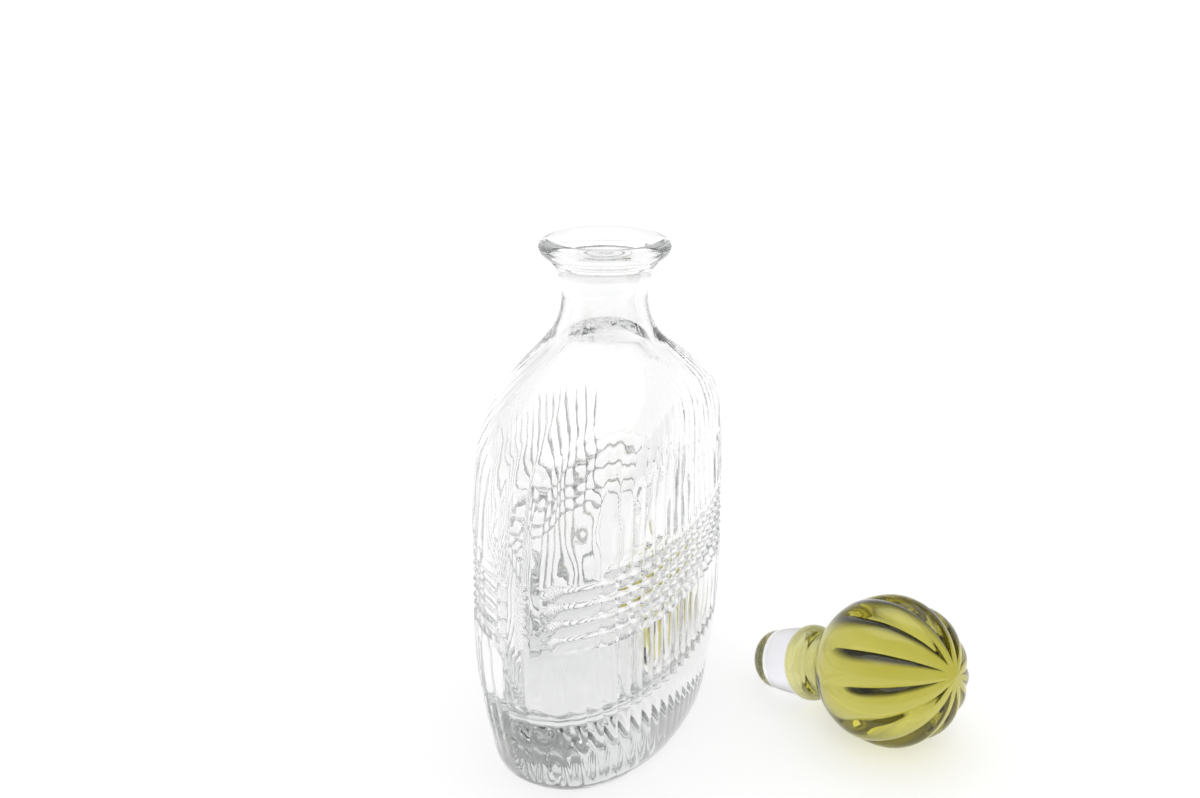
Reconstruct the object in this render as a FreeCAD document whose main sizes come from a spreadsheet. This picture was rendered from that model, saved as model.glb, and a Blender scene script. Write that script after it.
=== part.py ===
import FreeCAD, Part
import math
import os
import Sketcher

# A pressed crystal decanter: an oval flask with upright reeds crossed by a band of
# horizontal grooves, and a melon-shaped green stopper on a clear ground plug, lying
# beside it. Millimetres, +Z up, origin at the centre of the flask's base, the flask's
# long side along X.

doc = FreeCAD.newDocument("Decanter")

# ---- driving dimensions -----------------------------------------------------------
sheet = doc.addObject("Spreadsheet::Sheet", "Sizes")
DIMENSIONS = [
    # flask
    ("bottleHeight", 190.0),
    ("bodyLength", 146.0),
    ("bodyWidth", 75.4),
    ("creaseHeight", 156.0),
    ("creaseRadius", 19.8),
    ("baseBevel", 3.5),
    ("wallThickness", 4.6),
    ("floorThickness", 30.0),
    ("floorRounding", 11.0),
    # upright reeds, and the plain panel at each narrow end
    ("reedsPerFace", 20),
    ("reedDepth", 0.8),
    ("panelReach", 28.0),
    ("panelReeds", 3),
    ("panelReedDepth", 0.5),
    ("endStrip", 4.6),
    ("reedFootFrom", 2.1),
    ("reedFootTo", 10.0),
    ("panelFadeFrom", 7.0),
    ("panelFadeTo", 2.0),
    ("reedFadeFrom", 116.0),
    ("reedFadeTo", 139.0),
    # band of horizontal grooves
    ("bandTop", 88.8),
    ("groovePitch", 6.2),
    ("grooveCount", 4),
    ("grooveDepth", 1.5),
    ("crestDepth", 0.15),
    ("dishHalf", 2.48),
    ("dishClearance", 0.04),
    ("dishTop", 6.82),
    ("lastGrooveRun", 0.744),
    ("endLift", 0.5),
    ("cutterBack", 6.0),
    # neck, lip and bore
    ("neckCurve", 23.0),
    ("underLipRadius", 18.6),
    ("underLipHeight", 181.0),
    ("ridgeDepth", 0.6),
    ("ridgeHeight", 1.5),
    ("lipRadius", 23.6),
    ("lipCrestRadius", 20.0),
    ("lipRounding", 3.4),
    ("mouthRadius", 16.6),
    ("seatRadius", 13.9),
    ("seatHeight", 184.0),
    ("throatRadius", 12.4),
    ("throatHeight", 169.0),
    ("neckWall", 3.4),
    ("overlap", 2.0),
    ("cavityTop", 154.5),
    ("cavityLift", 3.0),
    ("boreEndRadius", 16.0),
    # stopper, measured along its own axis from the middle of the ball
    ("ballRadius", 28.5),
    ("lobeCount", 12),
    ("lobeDepth", 2.8),
    ("poleAngle", 2.5),
    ("lobeFrom", 6.0),
    ("lobeEnd", 15.0),
    ("lobeFullFrom", 22.8),
    ("knobWaistRadius", 9.8),
    ("knobWaistReach", 28.0),
    ("collarShoulderRadius", 13.2),
    ("collarShoulderReach", 33.0),
    ("collarRadius", 14.9),
    ("collarReach", 37.2),
    ("plugReach", 40.6),
    ("plugRadius", 13.8),
    ("groundReach", 52.0),
    ("groundEndRadius", 12.3),
    ("tipReach", 62.4),
    ("tipRadius", 5.5),
    ("tipShoulderReach", 56.0),
    ("tipShoulderRadius", 11.7),
    ("tipRounding", 7.5),
    # where the stopper lies
    ("stopperX", 22.8),
    ("stopperY", -107.2),
    ("stopperTurn", 66.0),
    ("stopperRoll", 7.4),
]
for row, (alias, value) in enumerate(DIMENSIONS, start=1):
    sheet.set("A%d" % row, alias)
    sheet.set("B%d" % row, str(value))
    sheet.setAlias("B%d" % row, alias)
doc.recompute()


def size(alias):
    return float(getattr(sheet, alias))


def count(alias):
    return int(round(size(alias)))


def smooth(low, high, value):
    """0 below low, 1 above high, with a soft start and end between."""
    t = min(1.0, max(0.0, (value - low) / (high - low)))
    return t * t * (3.0 - 2.0 * t)


# ---- the flask's plan outline at any height ----------------------------------------
# height / creaseHeight, half length / (bodyLength/2), half width / (bodyWidth/2),
# squareness of the oval (2 is an ellipse)
STATIONS = [
    (0.000, 0.780, 0.850, 2.1),
    (0.028, 0.845, 0.910, 2.2),
    (0.085, 0.880, 0.940, 2.2),
    (0.190, 0.940, 0.975, 2.2),
    (0.330, 1.000, 1.000, 2.2),
    (0.500, 1.000, 1.000, 2.2),
    (0.640, 0.965, 0.990, 2.3),
    (0.740, 0.918, 0.975, 2.4),
    (0.805, 0.850, 0.965, 2.5),
    (0.850, 0.735, 0.945, 2.5),
    (0.895, 0.575, 0.890, 2.4),
    (0.940, 0.428, 0.740, 2.2),
    (0.975, 0.330, 0.610, 2.0),
    (1.000, None, None, 2.0),
]


def station(height):
    """Half length, half width and squareness of the plain oval at a height."""
    if height >= size("creaseHeight"):
        return size("creaseRadius"), size("creaseRadius"), 2.0
    rows = []
    for level, long, wide, square in STATIONS:
        half_long = size("creaseRadius") if long is None else long * size("bodyLength") / 2
        half_wide = size("creaseRadius") if wide is None else wide * size("bodyWidth") / 2
        rows.append((level * size("creaseHeight"), half_long, half_wide, square))
    place = max(i for i, row in enumerate(rows[:-1]) if row[0] <= height)
    low, high = rows[place], rows[place + 1]
    before = rows[max(place - 1, 0)]
    after = rows[min(place + 2, len(rows) - 1)]
    span = high[0] - low[0]
    t = (height - low[0]) / span
    result = []
    for k in (1, 2, 3):
        slope_low = (high[k] - before[k]) / (high[0] - before[0])
        slope_high = (after[k] - low[k]) / (after[0] - low[0])
        result.append(low[k] * (2 * t**3 - 3 * t**2 + 1) + high[k] * (3 * t**2 - 2 * t**3)
                      + span * (slope_low * (t**3 - 2 * t**2 + t) + slope_high * (t**3 - t**2)))
    return tuple(result)


def oval(half_long, half_wide, square, steps=1440):
    """Points of the oval and the share of the way round at each, from its -X end."""
    points = []
    for i in range(steps + 1):
        turn = math.pi + 2 * math.pi * i / steps
        c, s = math.cos(turn), math.sin(turn)
        points.append((math.copysign(half_long * abs(c) ** (2 / square), c),
                       math.copysign(half_wide * abs(s) ** (2 / square), s)))
    shares = [0.0]
    for here, there in zip(points, points[1:]):
        shares.append(shares[-1] + math.dist(here, there))
    return points, [s / shares[-1] for s in shares]


def walker(half_long, half_wide, square):
    """A function from a share of the way round to the point there and its outward normal."""
    points, shares = oval(half_long, half_wide, square)
    total = len(points) - 1

    def at(share):
        share %= 1.0
        low, high = 0, total
        while high - low > 1:
            middle = (low + high) // 2
            if shares[middle] <= share:
                low = middle
            else:
                high = middle
        t = (share - shares[low]) / (shares[high] - shares[low])
        x = points[low][0] + t * (points[high][0] - points[low][0])
        y = points[low][1] + t * (points[high][1] - points[low][1])
        before, after = points[(low - 3) % total], points[(high + 3) % total]
        length = math.dist(before, after)
        normal = ((after[1] - before[1]) / length, -(after[0] - before[0]) / length)
        return (x, y), normal

    return at


def perimeter(height):
    points, _ = oval(*station(height))
    return sum(math.dist(a, b) for a, b in zip(points, points[1:]))


# Shares of the way round at which one reed ends and the next begins.
WAY_ROUND = perimeter(size("bandTop") - size("groovePitch") * size("grooveCount") / 2)
PANEL = size("panelReach") / WAY_ROUND
STRIP = size("endStrip") / WAY_ROUND


def divisions():
    """(start, end, kind) of each strip round the flask, from the middle of the -X end."""
    panel_step = (PANEL - STRIP) / count("panelReeds")
    reed_step = (0.5 - 2 * PANEL) / count("reedsPerFace")
    half = [(STRIP + i * panel_step, STRIP + (i + 1) * panel_step, "panel")
            for i in range(count("panelReeds"))]
    half += [(PANEL + i * reed_step, PANEL + (i + 1) * reed_step, "reed")
             for i in range(count("reedsPerFace"))]
    half += [(0.5 - end, 0.5 - start, "panel")
             for start, end, _ in reversed(half[:count("panelReeds")])]
    half.append((0.5 - STRIP, 0.5 + STRIP, "strip"))
    return half + [(start + 0.5, end + 0.5, kind) for start, end, kind in half]


def bulge(kind, height):
    """How far a strip's crown stands out from the plain oval at a height."""
    foot = smooth(size("reedFootFrom"), size("reedFootTo"), height)
    if kind == "reed":
        return size("reedDepth") * foot * (1 - smooth(size("reedFadeFrom"), size("reedFadeTo"), height))
    if kind == "panel":
        band_bottom = size("bandTop") - size("groovePitch") * size("grooveCount")
        top = 1 - smooth(band_bottom - size("panelFadeFrom"), band_bottom - size("panelFadeTo"), height)
        return size("panelReedDepth") * foot * top
    return 0.0


REED_STEPS = 6  # parts that each strip's spline is divided into
END_STEP = 0.02  # share of a strip over which its end slope is taken


def reeded_section(height):
    """The closed wire round the flask at a height: one spline for each strip."""
    at = walker(*station(height))
    edges = []
    corners = {}

    def point(share, out):
        (x, y), (nx, ny) = at(share)
        return FreeCAD.Vector(x + out * nx, y + out * ny, height)

    for start, end, kind in divisions():
        crown = bulge(kind, height)
        points = []
        for i in range(REED_STEPS + 1):
            t = i / REED_STEPS
            points.append(point(start + t * (end - start), crown * 4 * t * (1 - t)))
        near = END_STEP * (end - start)
        rise = crown * 4 * END_STEP * (1 - END_STEP)
        leave = point(start + near, rise) - points[0]
        arrive = points[-1] - point(end - near, rise)
        points[0] = corners.setdefault(round(start % 1.0, 6), points[0])
        points[-1] = corners.setdefault(round(end % 1.0, 6), points[-1])
        curve = Part.BSplineCurve()
        curve.interpolate(Points=points, Parameters=[i / REED_STEPS for i in range(REED_STEPS + 1)],
                          InitialTangent=leave, FinalTangent=arrive)
        edges.append(curve.toShape())
    return Part.Wire(edges)


OVAL_STEPS = 48  # points that a smooth oval passes through


def oval_wire(height, half_long, half_wide, square):
    """A smooth closed wire of an oval at a height."""
    at = walker(half_long, half_wide, square)
    points = []
    for i in range(OVAL_STEPS):
        (x, y), _ = at(i / OVAL_STEPS)
        points.append(FreeCAD.Vector(x, y, height))
    curve = Part.BSplineCurve()
    curve.interpolate(Points=points, PeriodicFlag=True,
                      Parameters=[i / OVAL_STEPS for i in range(OVAL_STEPS + 1)])
    return Part.Wire([curve.toShape()])


def add_shape(name, shape):
    feature = doc.addObject("Part::Feature", name)
    feature.Shape = shape
    return feature


# ---- the flask's body: a loft through reeded sections -------------------------------
SIDE_LEVELS = [20.0, 34.0, 50.0, 66.0, 82.0, 98.0, 110.0]  # heights up the flask's side
SHOULDER_FROM = 113.0  # above it the loft passes through the outline's own stations


def reeded_body():
    top = size("creaseHeight")
    levels = [0.0, size("baseBevel"), size("reedFootTo")] + SIDE_LEVELS
    levels += [top * level for level, *_ in STATIONS if level * top > SHOULDER_FROM]
    return Part.makeLoft([reeded_section(level) for level in levels], True, False)


body = add_shape("ReededBody", reeded_body())


# ---- the band: horizontal grooves cut by one comb-shaped tool that follows the oval ---
def arc_at(out, height, half_chord, sagitta, spot):
    """A point of the arc that dips by sagitta between two ends half_chord from its middle."""
    radius = (half_chord**2 + sagitta**2) / (2 * sagitta)
    return out - sagitta + radius - math.sqrt(radius**2 - (spot - height) ** 2)


def band_profile():
    """(out, height) corners and middles of the tool's edge, from the top down."""
    pitch = size("groovePitch")
    crest = -size("crestDepth")
    dip = size("grooveDepth") - size("crestDepth")
    dish_half = size("dishHalf")
    dish_dip = size("reedDepth") - size("crestDepth") - size("dishClearance")
    dish_middle = size("bandTop") + dish_half
    steps = []
    top = size("bandTop") + size("dishTop")
    steps.append(((arc_at(crest, dish_middle, dish_half, dish_dip, top), top),
                  (crest - dish_dip, dish_middle), (crest, size("bandTop"))))
    for i in range(count("grooveCount")):
        upper = size("bandTop") - i * pitch
        lower = upper - pitch
        middle = (upper + lower) / 2
        end = (crest, lower)
        if i == count("grooveCount") - 1:
            lower -= size("lastGrooveRun")
            end = (arc_at(crest, middle, pitch / 2, dip, lower), lower)
        steps.append(((crest, upper), (crest - dip, middle), end))
    return steps


CUTTER_SECTIONS = 29
END_CROWDING = 0.6  # how much closer the sections stand at the narrow ends
LIFT_FROM, LIFT_TO = 0.6, 0.5  # shares of the end strip and of the panel where grooves run out


def band_cutter(first_share):
    """The tool for one broad face: a loft of its comb-shaped edge from strip to strip."""
    height = size("bandTop") - size("groovePitch") * size("grooveCount") / 2
    at = walker(*station(height))
    steps = band_profile()
    wires = []
    for i in range(CUTTER_SECTIONS):
        t = i / (CUTTER_SECTIONS - 1)
        along = 0.5 * (t - END_CROWDING * math.sin(2 * math.pi * t) / (2 * math.pi))
        near_end = 1 - smooth(STRIP * LIFT_FROM, PANEL * LIFT_TO, min(along, 0.5 - along))
        full_lift = size("grooveDepth") - size("reedDepth") + size("endLift")
        out = size("reedDepth") + full_lift * near_end
        (x, y), (nx, ny) = at(first_share + along)

        def place(spot):
            return FreeCAD.Vector(x + (out + spot[0]) * nx, y + (out + spot[0]) * ny, spot[1])

        edges = [Part.Arc(place(p), place(q), place(r)).toShape() for p, q, r in steps]
        back = size("cutterBack")
        ends = [place(steps[-1][2]), place((back, steps[-1][2][1])),
                place((back, steps[0][0][1])), place(steps[0][0])]
        edges += [Part.makeLine(p, q) for p, q in zip(ends, ends[1:])]
        wires.append(Part.Wire(edges))
    return Part.makeLoft(wires, True, False)


add_shape("FrontCutter", band_cutter(0.0))
add_shape("BackCutter", band_cutter(0.5))


# ---- turned pieces: PartDesign revolutions of sketches bound to the sheet ------------
def value_of(formula):
    """The number that a formula of sheet names gives, read through a spare cell."""
    sheet.set("D1", "=" + formula.replace("Sizes.", ""))
    sheet.recompute()
    return float(sheet.get("D1"))


def turned(name, corners, arcs):
    """A body turned about the axis of its sketch.

    corners are (radius, height) formulas, in order round the closed profile; arcs give,
    for the side that starts at a corner, a radius formula and the side its centre is on.
    """
    owner = doc.addObject("PartDesign::Body", name)
    sketch = owner.newObject("Sketcher::SketchObject", name + "Profile")
    plane = next(f for f in owner.Origin.OriginFeatures if f.Role == "XZ_Plane")
    sketch.AttachmentSupport = [(plane, "")]
    sketch.MapMode = "FlatFace"
    spots = [FreeCAD.Vector(value_of(across), value_of(up), 0) for across, up in corners]
    total = len(spots)
    ends = []
    for i, here in enumerate(spots):
        there = spots[(i + 1) % total]
        if i not in arcs:
            sketch.addGeometry(Part.LineSegment(here, there), False)
            ends.append((1, 2))
            continue
        radius, side = value_of(arcs[i][0]), arcs[i][1]
        chord = there - here
        across = FreeCAD.Vector(-chord.y, chord.x, 0).normalize() * side
        centre = (here + there) / 2 + across * math.sqrt(radius**2 - chord.Length**2 / 4)
        circle = Part.Circle(centre, FreeCAD.Vector(0, 0, 1), radius)
        angles = [math.atan2(spot.y - centre.y, spot.x - centre.x) for spot in (here, there)]
        # a sketch's arcs run anticlockwise: one with its centre on the right is laid backwards
        if side < 0:
            angles.reverse()
        if angles[1] < angles[0]:
            angles[1] += 2 * math.pi
        sketch.addGeometry(Part.ArcOfCircle(circle, angles[0], angles[1]), False)
        ends.append((1, 2) if side > 0 else (2, 1))
    for i in range(total):
        after = (i + 1) % total
        sketch.addConstraint(Sketcher.Constraint("Coincident", i, ends[i][1], after, ends[after][0]))
    for i, (across, up) in enumerate(corners):
        sides = (("DistanceX", across, spots[i].x), ("DistanceY", up, spots[i].y))
        for kind, formula, number in sides:
            if abs(number) < 1e-9:
                line = -2 if kind == "DistanceX" else -1
                sketch.addConstraint(Sketcher.Constraint("PointOnObject", i, ends[i][0], line))
                continue
            index = sketch.addConstraint(Sketcher.Constraint(kind, -1, 1, i, ends[i][0], number))
            sketch.setExpression("Constraints[%d]" % index, formula)
    for i, (formula, _) in arcs.items():
        index = sketch.addConstraint(Sketcher.Constraint("Radius", i, value_of(formula)))
        sketch.setExpression("Constraints[%d]" % index, formula)
    turn = owner.newObject("PartDesign::Revolution", name + "Turned")
    turn.Profile = sketch
    turn.ReferenceAxis = (sketch, ["V_Axis"])
    turn.Angle = 360.0
    return owner


NECK = [
    ("0", "Sizes.creaseHeight - Sizes.overlap"),
    ("Sizes.creaseRadius - Sizes.ridgeDepth", "Sizes.creaseHeight - Sizes.overlap"),
    ("Sizes.creaseRadius", "Sizes.creaseHeight"),
    ("Sizes.underLipRadius", "Sizes.underLipHeight"),
    ("Sizes.underLipRadius + Sizes.ridgeDepth", "Sizes.underLipHeight + Sizes.ridgeHeight / 2"),
    ("Sizes.underLipRadius + Sizes.ridgeDepth / 2", "Sizes.underLipHeight + Sizes.ridgeHeight"),
    ("Sizes.lipRadius", "Sizes.bottleHeight - Sizes.lipRounding * 0.85"),
    ("Sizes.lipCrestRadius", "Sizes.bottleHeight"),
    ("0", "Sizes.bottleHeight"),
]
turned("Neck", NECK, {
    2: ("Sizes.neckCurve", -1),
    5: ("Sizes.lipRounding * 1.6", 1),
    6: ("Sizes.lipRounding * 1.1", 1),
})

BORE = [
    ("0", "Sizes.bottleHeight + Sizes.overlap"),
    ("Sizes.lipCrestRadius", "Sizes.bottleHeight + Sizes.overlap"),
    ("Sizes.lipCrestRadius", "Sizes.bottleHeight"),
    ("Sizes.mouthRadius", "Sizes.bottleHeight - Sizes.overlap"),
    ("Sizes.seatRadius", "Sizes.seatHeight"),
    ("Sizes.throatRadius", "Sizes.throatHeight"),
    ("Sizes.boreEndRadius", "Sizes.cavityTop"),
    ("Sizes.boreEndRadius", "Sizes.cavityTop - Sizes.overlap"),
    ("0", "Sizes.cavityTop - Sizes.overlap"),
]
turned("Bore", BORE, {
    2: ("Sizes.lipRounding * 1.5", 1),
    3: ("Sizes.lipRounding * 2", 1),
    5: ("Sizes.neckCurve + Sizes.neckWall", 1),
})


# ---- the room inside: a smooth loft that follows the flask, with a rounded floor -------
FLOOR_ANGLES = (0, 22, 45, 68, 90)  # degrees round the floor's edge
CAVITY_LEVELS = [52.0, 66.0, 82.0, 98.0, 110.0, 118.0, 125.0, 132.0, 138.0, 144.0, 149.0]
WALL_THINS_FROM = 109.5  # height at which the wall starts to thin towards the neck


def cavity():
    floor, rounding = size("floorThickness"), size("floorRounding")
    top, lift = size("cavityTop"), size("cavityLift")
    levels = [floor + rounding * (1 - math.cos(math.radians(angle))) for angle in FLOOR_ANGLES]
    levels += CAVITY_LEVELS + [top]
    # the top section closes in above the bore's mouth, so that the two walls cross cleanly
    closing = oval_wire(top + lift, size("throatRadius"), size("throatRadius"), 2.0)
    wires = []
    for level in levels:
        up = smooth(WALL_THINS_FROM, size("creaseHeight"), level)
        wall = size("wallThickness") * (1 - up) + size("neckWall") * up
        long, wide, square = station(level + lift)
        depth = min(1.0, (level - floor) / rounding)
        inset = wall + rounding * (1 - math.sqrt(1 - (1 - depth) ** 2))
        wires.append(oval_wire(level, long - inset, wide - inset, square))
    return Part.makeLoft(wires + [closing], True, False)


def joined(name, *parts):
    fuse = doc.addObject("Part::MultiFuse", name)
    fuse.Shapes = [doc.getObject(part) for part in parts]
    fuse.Refine = False
    return fuse


def taken_from(name, base, tool):
    cut = doc.addObject("Part::Cut", name)
    cut.Base = doc.getObject(base)
    cut.Tool = doc.getObject(tool)
    cut.Refine = False
    return cut


add_shape("Cavity", cavity())


# ---- the stopper, modelled with its pole down and its plug up --------------------------
def lobed_ring(angle_from_pole):
    """The closed wire round the ball at an angle from its pole: one arc for each lobe."""
    radius, lobes = size("ballRadius"), count("lobeCount")
    angle = math.radians(angle_from_pole)
    height = -radius * math.cos(angle)
    crown = radius * math.sin(angle)
    share = 1 - smooth(-size("lobeFrom"), size("lobeEnd"), height)
    valley = crown - share * size("lobeDepth") * min(1.0, crown / size("lobeFullFrom"))

    def spot(out, turn):
        return FreeCAD.Vector(out * math.cos(turn), out * math.sin(turn), height)

    step = 2 * math.pi / lobes
    return Part.Wire([Part.Arc(spot(valley, i * step), spot(crown, (i + 0.5) * step),
                               spot(valley, (i + 1) * step)).toShape() for i in range(lobes)])


RING_ANGLES = [8, 16, 26, 38, 50, 62, 74, 86, 98, 110]  # degrees from the ball's pole


def lobed_ball():
    end = math.degrees(math.acos(-size("lobeEnd") / size("ballRadius")))
    angles = [size("poleAngle")] + RING_ANGLES + [end]
    return Part.makeLoft([lobed_ring(angle) for angle in angles], True, False)


add_shape("LobedBall", lobed_ball())
KNOB_NECK = [
    ("0", "Sizes.lobeEnd"),
    ("sqrt(Sizes.ballRadius ^ 2 - Sizes.lobeEnd ^ 2)", "Sizes.lobeEnd"),
    ("Sizes.knobWaistRadius", "sqrt(Sizes.ballRadius ^ 2 - Sizes.knobWaistRadius ^ 2)"),
    ("Sizes.knobWaistRadius", "Sizes.knobWaistReach"),
    ("Sizes.collarShoulderRadius", "Sizes.collarShoulderReach"),
    ("Sizes.collarRadius", "Sizes.collarReach"),
    ("Sizes.plugRadius", "Sizes.plugReach"),
    ("0", "Sizes.plugReach"),
]
turned("KnobNeck", KNOB_NECK, {
    1: ("Sizes.ballRadius", 1),
    3: ("(Sizes.collarShoulderReach - Sizes.knobWaistReach) * 0.9", -1),
    4: ("Sizes.collarRadius * 0.4", 1),
    5: ("Sizes.collarRadius * 0.3", 1),
})

PLUG = [
    ("0", "Sizes.plugReach"),
    ("Sizes.plugRadius", "Sizes.plugReach"),
    ("Sizes.groundEndRadius", "Sizes.groundReach"),
    ("Sizes.tipShoulderRadius", "Sizes.tipShoulderReach"),
    ("Sizes.tipRadius", "Sizes.tipReach"),
    ("0", "Sizes.tipReach"),
]
plug = turned("Plug", PLUG, {3: ("Sizes.tipRounding", 1)})

# ---- booleans, the slow one last --------------------------------------------------------
joined("Blank", "ReededBody", "Neck")
joined("Inside", "Cavity", "Bore")
taken_from("Hollow", "Blank", "Inside")
taken_from("FrontBanded", "Hollow", "FrontCutter")
bottle = taken_from("Bottle", "FrontBanded", "BackCutter")
knob = joined("Knob", "LobedBall", "KnobNeck")
doc.recompute()


# ---- where the stopper lies: on its ball and on the shoulder of its tip -----------------
def lying(tilt, height):
    """The placement that lays the stopper down with its plug lower than its ball."""
    up = FreeCAD.Vector(0, 0, 1)
    roll = FreeCAD.Rotation(up, size("stopperRoll"))
    tip_over = FreeCAD.Rotation(FreeCAD.Vector(0, 1, 0), 90 + tilt)
    turn = FreeCAD.Rotation(up, size("stopperTurn"))
    centre = FreeCAD.Vector(size("stopperX"), size("stopperY"), height)
    return FreeCAD.Placement(centre, turn * tip_over * roll)


def lowest(piece, tilt):
    shape = piece.Shape.copy()
    shape.Placement = lying(tilt, 0)
    return shape.optimalBoundingBox(False).ZMin


low_tilt, high_tilt = 5.0, 30.0
HALVINGS = 16
for _ in range(HALVINGS):
    middle_tilt = (low_tilt + high_tilt) / 2
    if lowest(plug, middle_tilt) > lowest(knob, middle_tilt):
        low_tilt = middle_tilt
    else:
        high_tilt = middle_tilt
rest = lying(high_tilt, -min(lowest(plug, high_tilt), lowest(knob, high_tilt)))
knob.Placement = rest
plug.Placement = rest
doc.recompute()
print("stopper tilt %.2f degrees, ball centre %.2f high" % (high_tilt, rest.Base.z))

# ---- checks and export -------------------------------------------------------------------
NODES = {"bottle": bottle, "stopper_knob": knob, "stopper_plug": plug}
for thing in doc.Objects:
    if "Invalid" in thing.State or "Error" in thing.State:
        raise RuntimeError("%s did not build: %s" % (thing.Name, thing.State))
for node, piece in NODES.items():
    piece.Label = node
    shape = piece.Shape
    if shape.isNull() or not shape.isValid() or len(shape.Solids) != 1:
        raise RuntimeError("%s is not one sound solid" % node)
os.makedirs("parts", exist_ok=True)
for node, piece in NODES.items():
    piece.Shape.exportStep("parts/%s.step" % node)
    box = piece.Shape.optimalBoundingBox(False)
    print("%s: %.1f cm3, x %.2f to %.2f, y %.2f to %.2f, z %.3f to %.2f" % (
        node, piece.Shape.Volume / 1000, box.XMin, box.XMax, box.YMin, box.YMax, box.ZMin, box.ZMax))
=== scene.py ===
import math

import bmesh
import bpy
import numpy as np
from mathutils import Matrix, Vector


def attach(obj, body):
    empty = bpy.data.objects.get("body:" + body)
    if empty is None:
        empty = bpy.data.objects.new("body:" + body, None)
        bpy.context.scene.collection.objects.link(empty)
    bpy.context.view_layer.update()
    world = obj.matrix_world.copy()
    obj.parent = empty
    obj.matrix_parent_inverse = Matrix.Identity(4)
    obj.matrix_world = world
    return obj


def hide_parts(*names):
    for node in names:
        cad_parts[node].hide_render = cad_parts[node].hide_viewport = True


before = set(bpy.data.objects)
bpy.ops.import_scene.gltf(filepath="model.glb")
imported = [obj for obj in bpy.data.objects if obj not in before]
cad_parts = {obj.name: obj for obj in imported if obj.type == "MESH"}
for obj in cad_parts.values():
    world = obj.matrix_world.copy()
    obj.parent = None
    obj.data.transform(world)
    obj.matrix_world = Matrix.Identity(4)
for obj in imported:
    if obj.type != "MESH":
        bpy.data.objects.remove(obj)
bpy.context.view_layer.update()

mm = 0.001  # pieces are drawn in millimetres and made in metres
print("frame loaded:", ", ".join(sorted(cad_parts)))

# the camera stands off the flask's narrow end and looks down on it
viewpoint = {
    "place": (-0.4335, -0.1742, 0.2902), "turn": (71.06, 0.0, -67.9),
    "lens": 40.5, "sensor": 36.0, "nearest": 0.01,
}


def clearSelection():
    if bpy.context.object and bpy.context.object.mode != "OBJECT":
        bpy.ops.object.mode_set(mode="OBJECT")
    bpy.ops.object.select_all(action="DESELECT")


def pickOnly(piece):
    clearSelection()
    piece.select_set(True)
    bpy.context.view_layer.objects.active = piece


def setCamera():
    clearSelection()
    bpy.ops.object.camera_add(location=viewpoint["place"],
                              rotation=[math.radians(a) for a in viewpoint["turn"]])
    camera = bpy.context.object
    camera.name = "camera"
    camera.data.lens = viewpoint["lens"]
    camera.data.sensor_width = viewpoint["sensor"]
    camera.data.clip_start = viewpoint["nearest"]
    bpy.context.scene.camera = camera


setCamera()
print("camera set")


def finishPiece(piece, name, creaseAngle):
    # merge what meets, turn the faces outward, smooth all but the creases and say what came out
    pickOnly(piece)
    piece.name = piece.data.name = name
    bpy.ops.object.mode_set(mode="EDIT")
    bpy.ops.mesh.select_all(action="SELECT")
    bpy.ops.mesh.remove_doubles(threshold=0.002 * mm)
    bpy.ops.mesh.normals_make_consistent(inside=False)
    bpy.ops.object.mode_set(mode="OBJECT")
    bpy.ops.object.shade_smooth_by_angle(angle=math.radians(creaseAngle))
    net = bmesh.new()
    net.from_mesh(piece.data)
    unclosed = sum(not edge.is_manifold for edge in net.edges)
    triangles = sum(len(face.verts) - 2 for face in net.faces)
    volume = net.calc_volume(signed=True) / (10 * mm) ** 3
    net.free()
    print("%s: %d triangles, %d unclosed edges, %.1f cm3" % (name, triangles, unclosed, volume))


def smooth(low, high, value):
    t = np.clip((value - low) / (high - low), 0.0, 1.0)
    return t * t * (3.0 - 2.0 * t)


def arcPoints(start, end, radius, side, count):
    # points after start up to end on an arc; side is 1 with the centre on the left of the way
    a, b = Vector(start), Vector(end)
    chord = b - a
    across = Vector((-chord.y, chord.x)).normalized() * side
    centre = (a + b) / 2 + across * math.sqrt(radius**2 - chord.length_squared / 4)
    first = math.atan2(a.y - centre.y, a.x - centre.x)
    sweep = 2 * math.asin(chord.length / (2 * radius)) * side
    turns = [first + sweep * i / count for i in range(1, count + 1)]
    return [(centre.x + radius * math.cos(w), centre.y + radius * math.sin(w)) for w in turns]


def tracePath(corners):
    # each corner is radius and height, and one reached on an arc adds its radius, side and count
    path, here = [], None
    for across, up, *arc in corners:
        path += arcPoints(here, (across, up), *arc) if arc else [(across, up)]
        here = (across, up)
    return path


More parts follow.
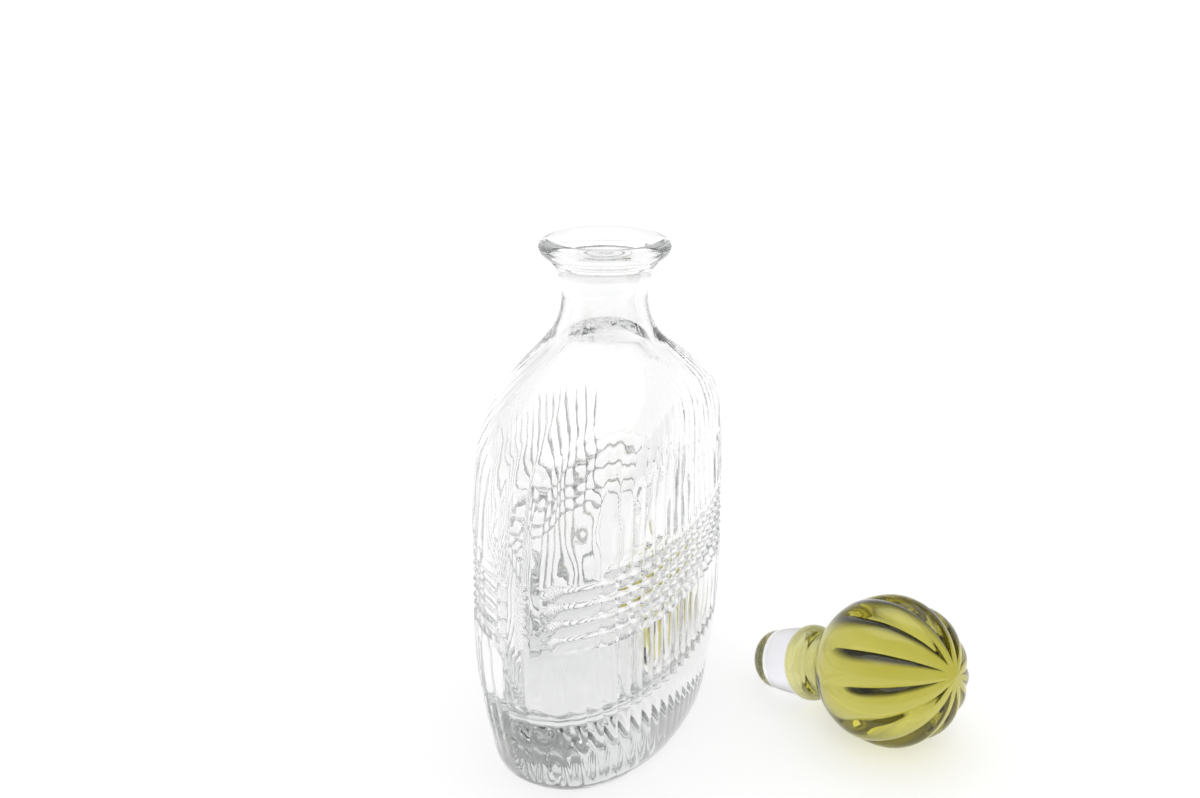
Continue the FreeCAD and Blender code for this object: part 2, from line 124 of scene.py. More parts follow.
flask = {
    "length": 146.0, "width": 75.4, "crease": 156.0, "creaseRadius": 19.8, "creaseAngle": 26,
    # height, half length and half width as shares, squareness of the oval
    "outline": [
        (0.000, 0.780, 0.850, 2.1), (0.028, 0.845, 0.910, 2.2), (0.085, 0.880, 0.940, 2.2),
        (0.190, 0.940, 0.975, 2.2), (0.330, 1.000, 1.000, 2.2), (0.500, 1.000, 1.000, 2.2),
        (0.640, 0.965, 0.990, 2.3), (0.740, 0.918, 0.975, 2.4), (0.805, 0.850, 0.965, 2.5),
        (0.850, 0.735, 0.945, 2.5), (0.895, 0.575, 0.890, 2.4), (0.940, 0.428, 0.740, 2.2),
        (0.975, 0.330, 0.610, 2.0), (1.000, None, None, 2.0),
    ],
    # upright reeds on the broad faces, wide ones on the panels beside them
    "reedsPerFace": 20, "reedDepth": 0.8, "reedFoot": (2.0, 34.0), "reedFade": (98.0, 136.0),
    "panelReach": 28.0, "panelReeds": 3, "panelReedDepth": 0.85, "panelArch": (5.0, 1.5),
    # two bars and a chain of beads up the middle of each narrow end
    "endStrip": 8.6, "barHeight": 0.5, "barSink": 0.345, "beadDepth": 0.5, "beadWidth": 1.5,
    # grooves across the reeds, running out beside the bars, and a dish on each reed above them
    "bandTop": 88.8, "groovePitch": 6.2, "grooves": 4, "grooveDepth": 1.35,
    "runOut": (0.95, 1.4), "runOutLift": 0.1, "edgeSoftness": 0.08,
    "dishHalf": 2.6, "dishDepth": 0.62, "dishMargin": 1.4,
    # the neck and lip up the outside and down the inside
    "neckAndLip": [
        (18.6, 181.0, 23.0, -1, 18), (19.05, 181.45), (19.2, 181.75), (19.05, 182.2), (18.9, 182.5),
        (23.6, 187.11, 5.44, 1, 7), (20.0, 190.0, 3.74, 1, 8), (16.6, 188.0, 5.1, 1, 6),
        (13.9, 184.0, 6.8, 1, 5), (13.4, 179.0), (12.9, 174.0), (12.4, 169.0),
        (16.0, 154.5, 26.4, 1, 8),
    ],
    # the blown room inside
    "wall": 4.6, "neckWall": 3.4, "wallThinsFrom": 109.5, "outlineLift": 3.0,
    "floor": 30.0, "floorRounding": 11.0, "innerRipple": 0.10, "innerWaves": 0.34,
    # waves by size, number round the flask, slope and start; their wandering by size, pace and start
    "waveRows": [
        (1.0, 7, 0.08, 0.0), (1.0, 13, -0.10, 1.3), (0.8, 24, 0.05, 0.6), (0.5, 37, -0.12, 0.0),
    ],
    "swell": (0.5, 5, -0.35, 2.1), "wander": [(0.05, 0.13, 0.0), (0.04, 0.31, 1.0)],
}

# where the flask's net has its rings, closer together where the surface turns
flaskLevels = {
    "underside": (0.0, 0.2, 0.4, 0.6, 0.8, 0.94, 0.99),
    "foot": (0.0, 0.4, 1.0, 1.8, 2.6, 3.5, 4.4, 5.4, 6.5, 7.7, 9.0, 10.5),
    "lowBody": (13.0, 56.0, 3.5), "belowBand": (57.0, 58.2, 59.4, 60.6, 61.8, 62.8, 63.3),
    "fromCrest": (0.0, 0.15, 0.32, 0.52, 0.78, 1.15, 1.7, 2.4),
    "dish": (0.0, 0.2, 0.5, 0.9, 1.4, 2.0, 2.6, 3.2, 3.7, 4.2, 4.6, 5.0, 5.6, 6.3, 7.2),
    "highBody": (98.0, 128.0, 2.5), "shoulder": (129.0, 155.6, 1.8), "inside": (152.0, 42.0, -3.4),
    "floorAngles": (0, 12, 24, 36, 48, 60, 70, 80, 90), "floorMiddle": (0.8, 0.55, 0.3, 0.0),
}
# where each kind of strip has its columns, as shares of the strip's own width
plainStrip, panelStrip, reedStrip = 0, 1, 2
columnShares = {
    reedStrip: (0, 0.08, 0.22, 0.40, 0.60, 0.78, 0.92),
    panelStrip: (0, 0.2, 0.4, 0.6, 0.8),
    plainStrip: (0, 0.17, 0.33, 0.41, 0.455, 0.5, 0.545, 0.59, 0.67, 0.83),
}


def flaskStation(height):
    # half length, half width and squareness of the plain oval at a height
    if height >= flask["crease"]:
        return flask["creaseRadius"], flask["creaseRadius"], 2.0
    rows = [(level * flask["crease"],
             flask["creaseRadius"] if long is None else long * flask["length"] / 2,
             flask["creaseRadius"] if wide is None else wide * flask["width"] / 2, square)
            for level, long, wide, square in flask["outline"]]
    place = max(i for i, row in enumerate(rows[:-1]) if row[0] <= height)
    low, high = rows[place], rows[place + 1]
    before, after = rows[max(place - 1, 0)], rows[min(place + 2, len(rows) - 1)]
    span = high[0] - low[0]
    t = (height - low[0]) / span
    result = []
    for k in (1, 2, 3):
        slopeLow = (high[k] - before[k]) / (high[0] - before[0])
        slopeHigh = (after[k] - low[k]) / (after[0] - low[0])
        result.append(low[k] * (2 * t**3 - 3 * t**2 + 1) + high[k] * (3 * t**2 - 2 * t**3)
                      + span * (slopeLow * (t**3 - 2 * t**2 + t) + slopeHigh * (t**3 - t**2)))
    return tuple(result)


def ovalRing(halfLong, halfWide, square, shares, fineness=2881, step=0.002):
    # points and outward normals at shares of the way round, from the -X end through -Y
    turn = math.pi + np.linspace(0.0, 2 * math.pi, fineness)
    c, s = np.cos(turn), np.sin(turn)
    x = halfLong * np.sign(c) * np.abs(c) ** (2 / square)
    y = halfWide * np.sign(s) * np.abs(s) ** (2 / square)
    run = np.concatenate([[0.0], np.cumsum(np.hypot(np.diff(x), np.diff(y)))])
    total = run[-1]
    run = run / total

    def pointsAt(places):
        return np.stack([np.interp(places % 1.0, run, x), np.interp(places % 1.0, run, y)], axis=1)

    along = pointsAt(shares + step) - pointsAt(shares - step)
    along /= np.linalg.norm(along, axis=1)[:, None]
    return pointsAt(shares), np.stack([along[:, 1], -along[:, 0]], axis=1), total


bandHeight = flask["groovePitch"] * flask["grooves"]
bandBottom = flask["bandTop"] - bandHeight
wayRound = ovalRing(*flaskStation(flask["bandTop"] - bandHeight / 2), np.zeros(1))[2]
panel = flask["panelReach"] / wayRound
strip = flask["endStrip"] / wayRound


def flaskColumns():
    # share of the way round, place across its own strip from 0 to 1, and kind of strip
    panelStep = (panel - strip) / flask["panelReeds"]
    reedStep = (0.5 - 2 * panel) / flask["reedsPerFace"]
    half = [(strip + i * panelStep, strip + (i + 1) * panelStep, panelStrip)
            for i in range(flask["panelReeds"])]
    farPanel = [(0.5 - end, 0.5 - start, kind) for start, end, kind in reversed(half)]
    half += [(panel + i * reedStep, panel + (i + 1) * reedStep, reedStrip)
             for i in range(flask["reedsPerFace"])]
    half += farPanel + [(0.5 - strip, 0.5 + strip, plainStrip)]
    columns = [(start + t * (end - start) + turn, t, kind)
               for turn in (0.0, 0.5) for start, end, kind in half for t in columnShares[kind]]
    return [np.array(values) for values in zip(*columns)]


shares, acrossReed, stripKind = flaskColumns()


def hollow(height, middle, half, depth):
    # the arc of a scoop that is depth deep at its middle and nothing at half away from it
    radius = (half**2 + depth**2) / (2 * depth)
    return radius - depth - math.sqrt(max(radius**2 - (height - middle) ** 2, 0.0))


def softLower(first, second, soft):
    # the lower of two surfaces, with the edge between them fire-polished
    return np.minimum(first, second) - np.maximum(soft - np.abs(first - second), 0.0) ** 2 / (4 * soft)


def archOf(across):
    # 0 at both sides of a reed and 1 on its crown
    return 4 * across * (1 - across)


def reedRelief(height):
    # how far the reeds and bars stand out of the plain oval at a height
    foot = smooth(*flask["reedFoot"], height)
    body = foot * (1 - smooth(*flask["reedFade"], height))
    archFrom, archTo = flask["panelArch"]
    low = foot * (1 - smooth(bandBottom - archFrom, bandBottom - archTo, height))
    crown = np.choose(stripKind, [0.0, flask["panelReedDepth"] * low, flask["reedDepth"] * body])
    bar = flask["barHeight"] * archOf(np.mod(2 * acrossReed, 1.0)) - flask["barSink"]
    return np.where(stripKind == plainStrip, bar * body, crown * archOf(acrossReed))


def cutGroove(out, height):
    # a groove follows the reeds' own roundness and runs out to a point near the narrow ends
    pitch, deep = flask["groovePitch"], flask["grooveDepth"]
    groove = min(int((flask["bandTop"] - height) / pitch), flask["grooves"] - 1)
    scoop = hollow(height, flask["bandTop"] - (groove + 0.5) * pitch, pitch / 2, deep)
    fromEnd = np.minimum(np.mod(shares, 0.5), 0.5 - np.mod(shares, 0.5))
    runFrom, runTo = flask["runOut"]
    lift = (deep + flask["runOutLift"]) * (1 - smooth(strip * runFrom, strip * runTo, fromEnd))
    return out + softLower(scoop + lift, 0.0 * out, flask["edgeSoftness"])


def cutBeads(out, height):
    # a chain of small hollows, two to a groove, between the two bars
    phase = 4 * math.pi * (flask["bandTop"] - height) / flask["groovePitch"]
    fromMiddle = np.abs(acrossReed - 0.5) * 2 * flask["endStrip"]
    fromMiddle = np.where(stripKind == plainStrip, fromMiddle, flask["beadWidth"])
    near = 1 - smooth(0.0, flask["beadWidth"], fromMiddle)
    return out - flask["beadDepth"] * (0.5 - 0.5 * math.cos(phase)) * near


def outerRing(height):
    points, normals, _ = ovalRing(*flaskStation(height), shares)
    out = reedRelief(height)
    dishMiddle = flask["bandTop"] + flask["dishHalf"]
    if bandBottom - 0.1 * flask["groovePitch"] < height <= flask["bandTop"]:
        out = cutGroove(out, height)
    elif flask["bandTop"] < height < dishMiddle + flask["dishHalf"] * flask["dishMargin"]:
        dish = flask["reedDepth"] + hollow(height, dishMiddle, flask["dishHalf"], flask["dishDepth"])
        out = softLower(out, dish, flask["edgeSoftness"])
    if bandBottom < height < flask["bandTop"]:
        out = cutBeads(out, height)
    points = points + normals * out[:, None]
    return np.column_stack([points, np.full(len(points), height)])


def roundRing(radius, height):
    turn = math.pi + 2 * math.pi * shares
    return np.column_stack([radius * np.cos(turn), radius * np.sin(turn), np.full(len(turn), height)])


def innerRelief(level, calm):
    # the blown side of the wall echoes the reeds and wanders a little
    turn = 2 * math.pi * shares
    bent = turn + sum(size * np.sin(pace * level + start) for size, pace, start in flask["wander"])
    wave = sum(size * np.sin(count * bent + slope * level + start)
               for size, count, slope, start in flask["waveRows"])
    size, count, slope, start = flask["swell"]
    wave = wave + size * np.sin(count * turn + slope * level + start)
    wave = wave / (sum(row[0] for row in flask["waveRows"]) + size)
    echo = np.where(stripKind == reedStrip, np.cos(2 * math.pi * acrossReed), 0.0)
    return calm * (flask["innerWaves"] * wave + flask["innerRipple"] * echo)


def innerRing(level):
    up = smooth(flask["wallThinsFrom"], flask["crease"], level)
    wall = flask["wall"] * (1 - up) + flask["neckWall"] * up
    long, wide, square = flaskStation(level + flask["outlineLift"])
    depth = min(1.0, (level - flask["floor"]) / flask["floorRounding"])
    inset = wall + flask["floorRounding"] * (1 - math.sqrt(1 - (1 - depth) ** 2))
    points, normals, _ = ovalRing(long - inset, wide - inset, square, shares)
    inward = innerRelief(level, (1 - up) * smooth(0.0, 1.0, depth))
    points = points - normals * inward[:, None]
    return np.column_stack([points, np.full(len(points), level)])


def flaskRings():
    # from the middle of the underside up the outside, over the lip and down to the floor
    levels, pitch = flaskLevels, flask["groovePitch"]
    rings = [outerRing(0.0) * (s, s, 1.0) for s in levels["underside"]]
    heights = [*levels["foot"], *np.arange(*levels["lowBody"]), *levels["belowBand"]]
    for i in range(flask["grooves"]):
        crest = bandBottom + i * pitch
        heights += [crest + d for d in levels["fromCrest"]] + [crest + pitch / 2]
        heights += [crest + pitch - d for d in reversed(levels["fromCrest"][1:])]
    heights += [flask["bandTop"] + d for d in levels["dish"]]
    heights += [*np.arange(*levels["highBody"]), *np.arange(*levels["shoulder"])]
    rings += [outerRing(h) for h in heights]
    neck = tracePath([(flask["creaseRadius"], flask["crease"]), *flask["neckAndLip"]])
    rings += [roundRing(*spot) for spot in neck]
    rings += [innerRing(level) for level in np.arange(*levels["inside"])]
    for angle in levels["floorAngles"]:
        rise = flask["floorRounding"] * (1 - math.sin(math.radians(angle)))
        rings.append(innerRing(flask["floor"] + rise))
    last = rings[-1]
    rings += [last * (s, s, 1.0) for s in levels["floorMiddle"]]
    return np.array(rings)


def netFromRings(rings):
    # a grid wrapped round: one row of it for each ring, its two sides meeting in a seam
    rows, columns = rings.shape[:2]
    clearSelection()
    bpy.ops.mesh.primitive_grid_add(x_subdivisions=columns, y_subdivisions=rows - 1, size=2.0)
    net = bpy.context.object
    spots = np.empty(len(net.data.vertices) * 3)
    net.data.vertices.foreach_get("co", spots)
    spots = spots.reshape(-1, 3)
    column = np.rint((spots[:, 0] + 1) / 2 * columns).astype(int) % columns
    row = np.rint((spots[:, 1] + 1) / 2 * (rows - 1)).astype(int)
    net.data.vertices.foreach_set("co", (rings[row, column] * mm).ravel())
    net.data.update()
    return net


flaskPiece = netFromRings(flaskRings())
finishPiece(flaskPiece, "flask", flask["creaseAngle"])


# each glass: colour of a crossing, roughness, waves (scale, strength, depth in metres),
# shadow (tint and share that passes), and depth (colour and density) where thickness shows
glassLook = {
    "clear_crystal": {
        "colour": (0.993, 0.994, 0.992), "roughness": 0.0, "waves": (38.0, 0.05, 0.0006),
        "shadow": ((0.97, 0.97, 0.975), 0.96), "depth": ((0.90, 0.905, 0.905), 16.0),
    },
    "olive_glass": {
        "colour": (0.84, 0.82, 0.42), "roughness": 0.0, "waves": (45.0, 0.06, 0.0006),
        "shadow": ((0.98, 0.98, 0.95), 0.97), "depth": ((0.74, 0.71, 0.05), 32.0),
    },
    "polished_glass": {
        "colour": (0.96, 0.96, 0.975), "roughness": 0.02, "waves": (60.0, 0.05, 0.0006),
        "shadow": ((0.95, 0.95, 0.97), 0.94),
    },
    "ground_glass": {
        "colour": (0.90, 0.89, 0.96), "roughness": 0.42, "waves": (1600.0, 0.25, 0.0001),
        "shadow": ((0.9, 0.9, 0.93), 0.9),
    },
}
glassBending = 1.53  # index of refraction
waveDetail = 1.5


def newMaterial(name):
    material = bpy.data.materials.new(name)
    material.use_nodes = True
    nodes, links = material.node_tree.nodes, material.node_tree.links
    return material, nodes, links, nodes["Principled BSDF"]


def addWaves(nodes, links, shader, scale, strength, depth):
    # the slow waves of pressed glass, or the grain of ground glass, in the piece's own coordinates
    place = nodes.new("ShaderNodeTexCoord")
    waves = nodes.new("ShaderNodeTexNoise")
    waves.inputs["Scale"].default_value = scale
    waves.inputs["Detail"].default_value = waveDetail
    bump = nodes.new("ShaderNodeBump")
    bump.inputs["Strength"].default_value = strength
    bump.inputs["Distance"].default_value = depth
    links.new(place.outputs["Object"], waves.inputs["Vector"])
    links.new(waves.outputs["Fac"], bump.inputs["Height"])
    links.new(bump.outputs["Normal"], shader.inputs["Normal"])


def letLightThrough(nodes, links, shader, tint, share):
    # a glass shadow is pale: most of the lamps' light passes
    path = nodes.new("ShaderNodeLightPath")
    scaled = nodes.new("ShaderNodeMath")
    scaled.operation = "MULTIPLY"
    scaled.inputs[1].default_value = share
    clear = nodes.new("ShaderNodeBsdfTransparent")
    clear.inputs["Color"].default_value = (*tint, 1.0)
    mix = nodes.new("ShaderNodeMixShader")
    links.new(path.outputs["Is Shadow Ray"], scaled.inputs[0])
    links.new(scaled.outputs[0], mix.inputs[0])
    links.new(shader.outputs[0], mix.inputs[1])
    links.new(clear.outputs[0], mix.inputs[2])
    links.new(mix.outputs[0], nodes["Material Output"].inputs["Surface"])


def makeGlass(name):
    look = glassLook[name]
    material, nodes, links, shader = newMaterial(name)
    shader.inputs["Base Color"].default_value = (*look["colour"], 1.0)
    shader.inputs["Roughness"].default_value = look["roughness"]
    shader.inputs["IOR"].default_value = glassBending
    shader.inputs["Transmission Weight"].default_value = 1.0
    if "depth" in look:
        tint, density = look["depth"]
        depth = nodes.new("ShaderNodeVolumeAbsorption")
        depth.inputs["Color"].default_value = (*tint, 1.0)
        depth.inputs["Density"].default_value = density
        links.new(depth.outputs[0], nodes["Material Output"].inputs["Volume"])
    addWaves(nodes, links, shader, *look["waves"])
    letLightThrough(nodes, links, shader, *look["shadow"])
    return material


# the stopper is drawn with its pole down and its plug up, then laid on its side
stopper = {
    "place": (22.8, -107.2, 28.41), "turn": 66.0, "tilt": 17.84, "roll": 7.4,
    "ballRadius": 28.5, "lobes": 12, "lobeDepth": 2.8, "lobeFade": (-6.0, 15.0), "poleEase": 1.25,
    "facesPerLobe": 12, "ballRings": 80, "cutBelowWaist": 0.2, "waist": 9.8, "waistFillet": 0.8,
    # the neck above the ball: waist, shoulder, collar and the face that the plug stands on
    "neck": [
        (9.8, 28.0), (13.2, 33.0, 4.5, -1, 8), (14.9, 37.2, 5.96, 1, 6), (13.8, 40.6, 4.47, 1, 7),
        (12.834, 40.6), (8.28, 40.6), (3.45, 40.6),
    ],
    # the plug: a ground taper, then a polished tip
    "plug": [
        (0.0, 40.3), (6.0, 40.3), (13.15, 40.3), (13.75, 40.3), (13.8, 40.6), (13.6, 42.0),
        (13.1, 46.0), (12.6, 50.0), (12.3, 52.0), (12.2, 52.4), (12.0, 54.0), (11.7, 56.0),
        (5.5, 62.4, 7.5, 1, 12), (3.5, 62.4), (0.0, 62.4),
    ],
    "groundFrom": 40.6, "groundTo": 52.0, "plugSteps": 96, "knobCrease": 24, "plugCrease": 30,
}


def layDown(piece):
    place = Matrix.Translation(Vector(stopper["place"]) * mm)
    place = place @ Matrix.Rotation(math.radians(stopper["turn"]), 4, "Z")
    place = place @ Matrix.Rotation(math.radians(90 + stopper["tilt"]), 4, "Y")
    piece.matrix_world = place @ Matrix.Rotation(math.radians(stopper["roll"]), 4, "Z")
    pickOnly(piece)
    bpy.ops.object.transform_apply(location=True, rotation=True, scale=True)


def pressLobes(ball):
    # each lobe is an arc from valley to valley through its crown
    radius, step = stopper["ballRadius"], 2 * math.pi / stopper["lobes"]
    for vertex in ball.data.vertices:
        x, y, z = vertex.co / mm
        crown = math.hypot(x, y)
        if crown < 0.01:  # the pole itself
            continue
        share = 1 - float(smooth(*stopper["lobeFade"], z))
        press = min(1.0, crown / radius * stopper["poleEase"])
        valley = crown - share * stopper["lobeDepth"] * press
        off = math.atan2(y, x) % step - step / 2
        centre = (crown**2 - valley**2) / (2 * (crown - valley * math.cos(step / 2)))
        arc = crown - centre
        out = centre * math.cos(off) + math.sqrt(max(arc**2 - (centre * math.sin(off)) ** 2, 0.0))
        vertex.co = Vector((x * out / crown, y * out / crown, z)) * mm


def selectWhere(piece, test):
    net = bmesh.from_edit_mesh(piece.data)
    for vertex in net.verts:
        vertex.select = test(vertex)
    net.select_flush_mode()
    bmesh.update_edit_mesh(piece.data)


def makeKnob():
    # a lobed ball, cut open above and drawn up ring by ring into its waist and collar
    clearSelection()
    bpy.ops.mesh.primitive_uv_sphere_add(segments=stopper["lobes"] * stopper["facesPerLobe"],
                                         ring_count=stopper["ballRings"],
                                         radius=stopper["ballRadius"] * mm)
    knob = bpy.context.object
    pressLobes(knob)
    meeting = math.sqrt(stopper["ballRadius"] ** 2 - stopper["waist"] ** 2)
    bpy.ops.object.mode_set(mode="EDIT")
    bpy.ops.mesh.select_mode(type="VERT")
    bpy.ops.mesh.select_all(action="DESELECT")
    selectWhere(knob, lambda vertex: vertex.co.z / mm > meeting - stopper["cutBelowWaist"])
    bpy.ops.mesh.delete(type="VERT")
    selectWhere(knob, lambda vertex: any(edge.is_boundary for edge in vertex.link_edges))
    fillet = meeting - stopper["cutBelowWaist"] + stopper["waistFillet"]
    for radius, height in tracePath([(stopper["waist"], meeting), (stopper["waist"], fillet),
                                     *stopper["neck"]]):
        bpy.ops.mesh.extrude_region_move()
        net = bmesh.from_edit_mesh(knob.data)
        for vertex in net.verts:
            if vertex.select:
                turn = math.atan2(vertex.co.y, vertex.co.x)
                vertex.co = Vector((radius * math.cos(turn), radius * math.sin(turn), height)) * mm
        bmesh.update_edit_mesh(knob.data)
    bpy.ops.mesh.edge_face_add()
    bpy.ops.object.mode_set(mode="OBJECT")
    return knob


def makePlug():
    # the plug's half profile, spun about its own axis
    clearSelection()
    bpy.ops.mesh.primitive_plane_add(size=mm)
    plug = bpy.context.object
    bpy.ops.object.mode_set(mode="EDIT")
    net = bmesh.from_edit_mesh(plug.data)
    net.clear()
    corners = [net.verts.new((radius * mm, 0, height * mm))
               for radius, height in tracePath(stopper["plug"])]
    for here, there in zip(corners, corners[1:]):
        net.edges.new((here, there))
    bmesh.update_edit_mesh(plug.data)
    bpy.ops.mesh.select_all(action="SELECT")
    bpy.ops.mesh.spin(steps=stopper["plugSteps"], angle=2 * math.pi, center=(0, 0, 0), axis=(0, 0, 1))
    bpy.ops.object.mode_set(mode="OBJECT")
    plug.data.materials.append(makeGlass("polished_glass"))
    plug.data.materials.append(makeGlass("ground_glass"))
    for face in plug.data.polygons:  # the taper is ground, the rest is polished
        face.material_index = int(stopper["groundFrom"] < face.center.z / mm < stopper["groundTo"])
    return plug


knobPiece = makeKnob()
layDown(knobPiece)
finishPiece(knobPiece, "stopper_ball", stopper["knobCrease"])
plugPiece = makePlug()
layDown(plugPiece)
finishPiece(plugPiece, "stopper_plug_glass", stopper["plugCrease"])
print("flask and stopper shaped")

flaskPiece.data.materials.append(makeGlass("clear_crystal"))
knobPiece.data.materials.append(makeGlass("olive_glass"))
for piece, node, slot in ((flaskPiece, "bottle", "crystal"), (knobPiece, "stopper_knob", "green_glass"),
                          (plugPiece, "stopper_plug", "plug_glass")):
    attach(piece, "root")
    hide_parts(node)
print("pieces dressed")

studio = {
    # a white sweep, lit and glowing near the object and plain white far off
    "floorReach": 14.0, "floorSides": 96, "floorDrop": -0.0002,
    "floorColour": 0.56, "floorRoughness": 0.9, "floorGloss": 0.1,
    "floorGlow": 0.51, "farGlow": 1.12, "farFrom": (0.22, 0.6),
    # the sweep ends a hand's breadth before the flask, with the dim room beyond
    "dimSide": (-0.925, -0.38, 0.0), "floorDim": (0.30, 0.31, 0.34), "dimFrom": (0.11, 0.24),
    "overhead": 0.46, "ceiling": (0.04, 0.60), "behind": 0.34, "back": (0.25, 0.70), "fill": 0.68,
    # the ball's deep shade, painted on the floor as a dark glow: place, reach, tone, and the share of
    # it that the eye meets
    "paintedShadePlace": (0.034, -0.105, 0.0), "paintedShadeReach": (0.031, 0.016),
    "paintedShadeTone": (0.02, 0.02, 0.01), "paintedShadeSeen": 0.12,
}
topBox = {"place": (0.10, 0.05, 1.1), "facing": (0.0, -0.04, 0.05), "sizes": (1.3, 1.1), "power": 4.9}
rightFlag = {
    "place": (0.08, -0.32, 0.10), "facing": (0.02, -0.10, 0.03), "sizes": (0.26, 0.24),
    "felt": (0.012, 0.014, 0.018), "roughness": 0.95,
}
lightPaths = {  # thick glass needs long ones
    "max_bounces": 28, "glossy_bounces": 20, "transmission_bounces": 28, "transparent_max_bounces": 24,
}


def feed(links, socket, source):
    # a socket takes either another socket or a plain value
    if isinstance(source, bpy.types.NodeSocket):
        links.new(source, socket)
    else:
        socket.default_value = source


def sumUp(nodes, links, operation, *sources):
    node = nodes.new("ShaderNodeMath")
    node.operation = operation
    for socket, source in zip(node.inputs, sources):
        feed(links, socket, source)
    return node.outputs["Value"]


def measure(nodes, links, operation, *vectors):
    node = nodes.new("ShaderNodeVectorMath")
    node.operation = operation
    for socket, vector in zip(node.inputs, vectors):
        feed(links, socket, vector)
    return node.outputs["Value"]


def easeBetween(nodes, links, value, start, end):
    node = nodes.new("ShaderNodeMapRange")
    node.interpolation_type = "SMOOTHSTEP"
    node.inputs["From Min"].default_value = start
    node.inputs["From Max"].default_value = end
    links.new(value, node.inputs["Value"])
    return node.outputs["Result"]


def glowing(nodes, colour, strength):
    node = nodes.new("ShaderNodeEmission")
    node.inputs["Color"].default_value = (*colour, 1.0)
    node.inputs["Strength"].default_value = strength
    return node.outputs[0]


def blend(nodes, links, share, first, second):
    node = nodes.new("ShaderNodeMixShader")
    for socket, source in zip(node.inputs, (share, first, second)):
        links.new(source, socket)
    return node.outputs[0]


def seenRays(nodes, links, path):
    # rays that show the room, straight, mirrored or through glass, and not those that light the floor
    unbent = sumUp(nodes, links, "MAXIMUM", path.outputs["Is Camera Ray"],
                   path.outputs["Is Glossy Ray"])
    return sumUp(nodes, links, "MAXIMUM", unbent, path.outputs["Is Transmission Ray"])


def whiteSweep():
    clearSelection()
    bpy.ops.mesh.primitive_circle_add(vertices=studio["floorSides"], radius=studio["floorReach"],
                                      fill_type="NGON", location=(0, 0, studio["floorDrop"]))
    floor = bpy.context.object
    bpy.ops.object.transform_apply(location=True)
    floor.name = "floor"
    material, nodes, links, shader = newMaterial("white_sweep")
    shader.inputs["Base Color"].default_value = (studio["floorColour"],) * 3 + (1.0,)
    shader.inputs["Roughness"].default_value = studio["floorRoughness"]
    shader.inputs["Specular IOR Level"].default_value = studio["floorGloss"]
    path = nodes.new("ShaderNodeLightPath")
    place = nodes.new("ShaderNodeTexCoord").outputs["Object"]
    seen = seenRays(nodes, links, path)
    white = (1.0, 1.0, 1.0)
    # near the object the shadow shows, far from it the sweep is plain white
    near = nodes.new("ShaderNodeAddShader")
    links.new(shader.outputs[0], near.inputs[0])
    links.new(glowing(nodes, white, studio["floorGlow"]), near.inputs[1])
    away = easeBetween(nodes, links, measure(nodes, links, "LENGTH", place), *studio["farFrom"])
    surface = blend(nodes, links, sumUp(nodes, links, "MULTIPLY", away, seen), near.outputs[0],
                    glowing(nodes, white, studio["farGlow"]))
    # the dim room beyond the sweep's edge
    side = measure(nodes, links, "DOT_PRODUCT", place, studio["dimSide"])
    ended = easeBetween(nodes, links, side, *studio["dimFrom"])
    surface = blend(nodes, links, sumUp(nodes, links, "MULTIPLY", seen, ended), surface,
                    glowing(nodes, studio["floorDim"], 1.0))
    # the painted shadow under the ball, a dark glow on the floor met mostly through the ball
    fromBall = measure(nodes, links, "DISTANCE", place, studio["paintedShadePlace"])
    shade = easeBetween(nodes, links, fromBall, *studio["paintedShadeReach"])
    met = sumUp(nodes, links, "MULTIPLY_ADD", path.outputs["Is Camera Ray"], studio["paintedShadeSeen"],
                path.outputs["Is Transmission Ray"])
    surface = blend(nodes, links, sumUp(nodes, links, "MULTIPLY", shade, met), surface,
                    glowing(nodes, studio["paintedShadeTone"], 1.0))
    links.new(surface, nodes["Material Output"].inputs["Surface"])
    floor.data.materials.append(material)


def toneRamp(nodes, links, value, limits, tone):
    # white up to the first limit, easing to a tone at the second
    ramp = nodes.new("ShaderNodeValToRGB")
    ramp.color_ramp.interpolation = "EASE"
    stops = ramp.color_ramp.elements
    stops[0].position, stops[0].color = limits[0], (1, 1, 1, 1)
    stops[1].position, stops[1].color = limits[1], (tone, tone, tone, 1)
    links.new(value, ramp.inputs[0])
    return ramp.outputs["Color"]


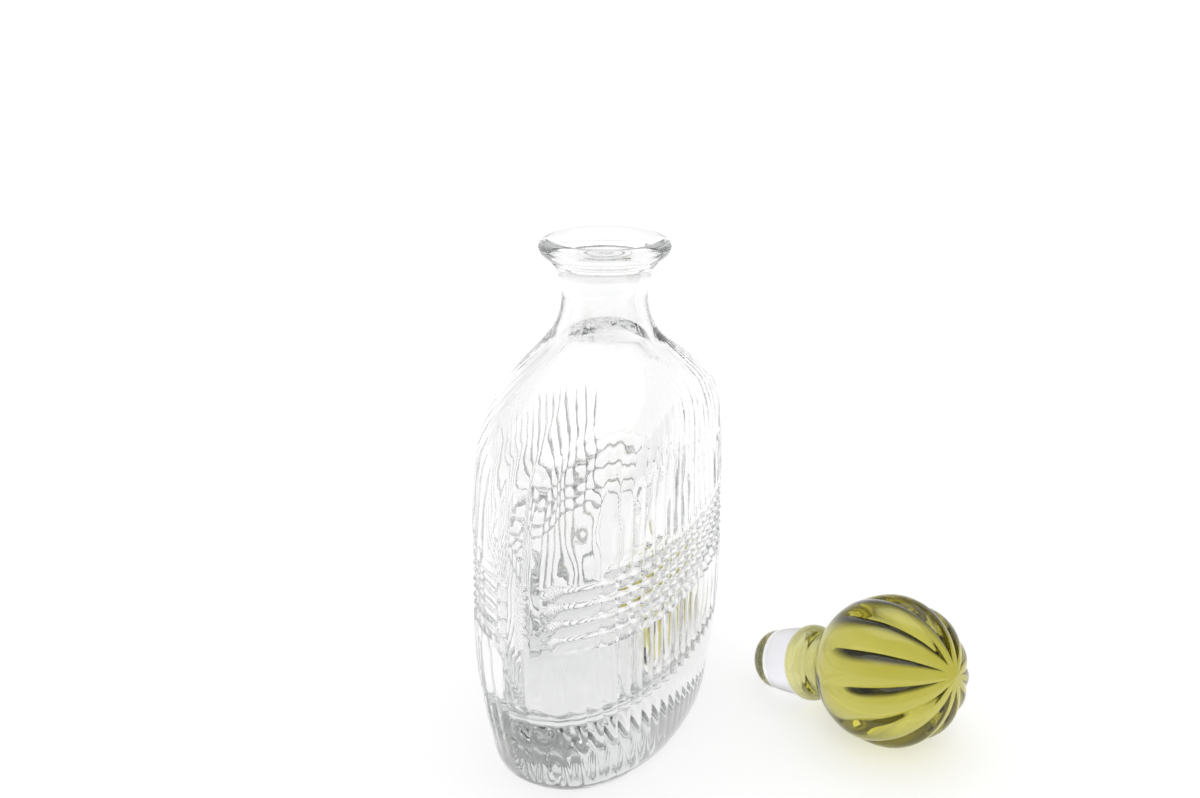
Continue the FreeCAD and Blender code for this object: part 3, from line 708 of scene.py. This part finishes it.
def studioWorld():
    world = bpy.data.worlds.new("studio")
    bpy.context.scene.world = world
    world.use_nodes = True
    nodes, links = world.node_tree.nodes, world.node_tree.links
    nodes.clear()
    place = nodes.new("ShaderNodeTexCoord").outputs["Generated"]
    split = nodes.new("ShaderNodeSeparateXYZ")
    links.new(place, split.inputs[0])
    toward = measure(nodes, links, "DOT_PRODUCT", place, studio["dimSide"])
    both = nodes.new("ShaderNodeMix")
    both.data_type = "RGBA"
    both.blend_type = "MULTIPLY"
    both.inputs[0].default_value = 1.0
    links.new(toneRamp(nodes, links, split.outputs["Z"], studio["ceiling"], studio["overhead"]),
              both.inputs["A"])
    links.new(toneRamp(nodes, links, toward, studio["back"], studio["behind"]), both.inputs["B"])
    room = nodes.new("ShaderNodeBackground")
    links.new(both.outputs["Result"], room.inputs["Color"])
    fill = nodes.new("ShaderNodeBackground")
    fill.inputs["Color"].default_value = (1, 1, 1, 1)
    fill.inputs["Strength"].default_value = studio["fill"]
    seen = seenRays(nodes, links, nodes.new("ShaderNodeLightPath"))
    whole = blend(nodes, links, seen, fill.outputs[0], room.outputs[0])
    links.new(whole, nodes.new("ShaderNodeOutputWorld").inputs["Surface"])


def softLamp(name, lampSettings):
    clearSelection()
    place = lampSettings["place"]
    aim = (Vector(lampSettings["facing"]) - Vector(place)).to_track_quat("-Z", "Y").to_euler()
    bpy.ops.object.light_add(type="AREA", location=place, rotation=aim)
    lamp = bpy.context.object
    lamp.name = name
    lamp.data.shape = "RECTANGLE"
    lamp.data.size, lamp.data.size_y = lampSettings["sizes"]
    lamp.data.energy = lampSettings["power"]


def darkFlag(name, cardSettings):
    # a card that only mirrored and bent rays meet, as photographers hang beside glass
    clearSelection()
    place = cardSettings["place"]
    aim = (Vector(cardSettings["facing"]) - Vector(place)).to_track_quat("Z", "Y").to_euler()
    bpy.ops.mesh.primitive_plane_add(size=1.0, location=place, rotation=aim)
    card = bpy.context.object
    card.scale = (*cardSettings["sizes"], 1.0)
    bpy.ops.object.transform_apply(location=True, rotation=True, scale=True)
    card.name = name
    material, nodes, links, shader = newMaterial("black_felt")
    shader.inputs["Base Color"].default_value = (*cardSettings["felt"], 1.0)
    shader.inputs["Roughness"].default_value = cardSettings["roughness"]
    card.data.materials.append(material)
    card.visible_camera = card.visible_shadow = card.visible_diffuse = False


whiteSweep()
studioWorld()
softLamp("top_box", topBox)
darkFlag("right_flag", rightFlag)
bpy.context.scene.view_settings.view_transform = "Standard"
for name, bounces in lightPaths.items():
    setattr(bpy.context.scene.cycles, name, bounces)
print("studio lit")
